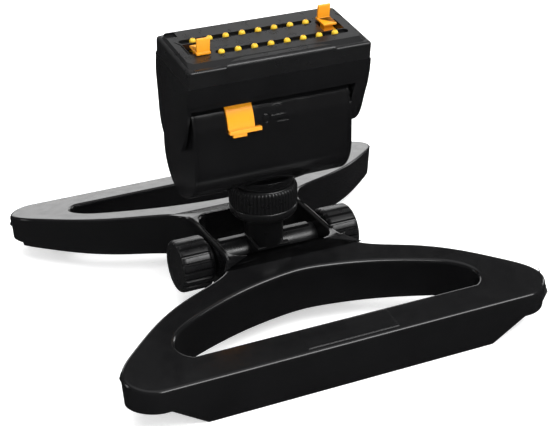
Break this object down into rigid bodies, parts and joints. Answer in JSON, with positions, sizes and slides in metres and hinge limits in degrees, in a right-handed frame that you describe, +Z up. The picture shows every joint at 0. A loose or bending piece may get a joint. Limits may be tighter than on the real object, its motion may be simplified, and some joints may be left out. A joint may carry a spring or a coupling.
{
  "type": "oscillating sprinkler",
  "caption": "Compact oscillating lawn sprinkler: a rocking head with two rows of nozzles on a swivel post above a wide two-loop base.",
  "frame": {"origin": "on the ground at the centre of the base, under the swivel post", "axes": "+X along the spray head and out of the hose coupling, +Y to the rear, +Z up"},
  "size_m": [0.271, 0.258, 0.1829],
  "materials": {
    "black_gloss": "moulded, polished",
    "black_satin": "moulded, fine satin",
    "orange_tab": "moulded, satin",
    "yellow_nozzle": "soft moulded",
    "black_rubber": "soft moulded",
    "stainless": "turned",
    "white_acetal": "moulded"
  },
  "bodies": {
    "base": {"base_frame": "black_gloss", "pipe_cradle": "black_gloss", "inlet_pipe": "black_satin", "swivel_post": "black_satin", "pipe_clamp": "black_satin", "clamp_screws": "stainless", "coupling_retainer": "black_satin", "inlet_filter": "stainless"},
    "inlet_coupling": {"hose_coupling_nut": "black_satin", "hose_washer": "black_rubber"},
    "drain_cap": {"end_cap": "black_satin", "cap_washer": "black_rubber"},
    "collar": {"swivel_collar": "black_satin"},
    "head": {"housing_shell": "black_gloss", "housing_end_left": "black_gloss", "housing_end_right": "black_gloss", "swivel_stem": "black_satin", "stem_o_rings": "black_rubber", "gear_plate_left": "white_acetal", "gear_plate_right": "white_acetal", "cluster_axle": "stainless", "jet_block": "white_acetal", "trunnion_seal": "black_rubber"},
    "rocker": {"rocker_shell": "black_gloss", "chamber_cover": "black_gloss", "nozzle_cover": "black_satin", "manifold": "black_satin", "nozzles_front": "yellow_nozzle", "nozzles_rear": "yellow_nozzle", "rocker_screws": "stainless", "drive_trunnion": "white_acetal", "output_gear": "white_acetal"},
    "range_setter": {"range_slider": "orange_tab", "range_stop": "white_acetal"},
    "width_left": {"width_slider_left": "orange_tab"},
    "width_right": {"width_slider_right": "orange_tab"},
    "turbine": {"turbine_wheel": "white_acetal", "turbine_shaft": "stainless", "turbine_pinion": "white_acetal"},
    "cluster": {"cluster_gear": "white_acetal"},
    "deflector": {"jet_deflector": "white_acetal", "trip_lever": "white_acetal"}
  },
  "joints": [
    {"name": "inlet_spin", "type": "hinge", "parent": "base", "child": "inlet_coupling", "pos_m": [0.051, 0, 0.0279], "axis": [1, 0, 0], "continuous": true},
    {"name": "cap_spin", "type": "hinge", "parent": "base", "child": "drain_cap", "pos_m": [-0.051, 0, 0.0279], "axis": [1, 0, 0], "continuous": true},
    {"name": "collar_turn", "type": "hinge", "parent": "base", "child": "collar", "pos_m": [0, 0, 0.064], "axis": [0, 0, 1], "continuous": true},
    {"name": "head_swivel", "type": "hinge", "parent": "base", "child": "head", "pos_m": [0, 0, 0.076], "axis": [0, 0, 1], "continuous": true},
    {"name": "rocker_swing", "type": "hinge", "parent": "head", "child": "rocker", "pos_m": [0, 0, 0.122], "axis": [1, 0, 0], "range_deg": [-53, 37]},
    {"name": "range_setting", "type": "hinge", "parent": "head", "child": "range_setter", "pos_m": [0, 0, 0.122], "axis": [1, 0, 0], "range_deg": [-24, 0]},
    {"name": "width_left_slide", "type": "slide", "parent": "rocker", "child": "width_left", "axis": [0, 0.9901, 0.1402], "range_m": [0, 0.005]},
    {"name": "width_right_slide", "type": "slide", "parent": "rocker", "child": "width_right", "axis": [0, -0.9901, -0.1402], "range_m": [0, 0.005]},
    {"name": "turbine_spin", "type": "hinge", "parent": "head", "child": "turbine", "pos_m": [0, 0, 0.122], "axis": [1, 0, 0], "range_deg": [-480, 336]},
    {"name": "cluster_spin", "type": "hinge", "parent": "head", "child": "cluster", "pos_m": [0, 0, 0.1], "axis": [1, 0, 0], "range_deg": [-112, 160]},
    {"name": "deflector_flip", "type": "hinge", "parent": "head", "child": "deflector", "pos_m": [0, 0, 0.092], "axis": [1, 0, 0], "range_deg": [-10, 10]}
  ],
  "couplings": [
    {"joint": "turbine_spin", "follows": "rocker_swing", "ratio": 9},
    {"joint": "cluster_spin", "follows": "rocker_swing", "ratio": -3}
  ]
}
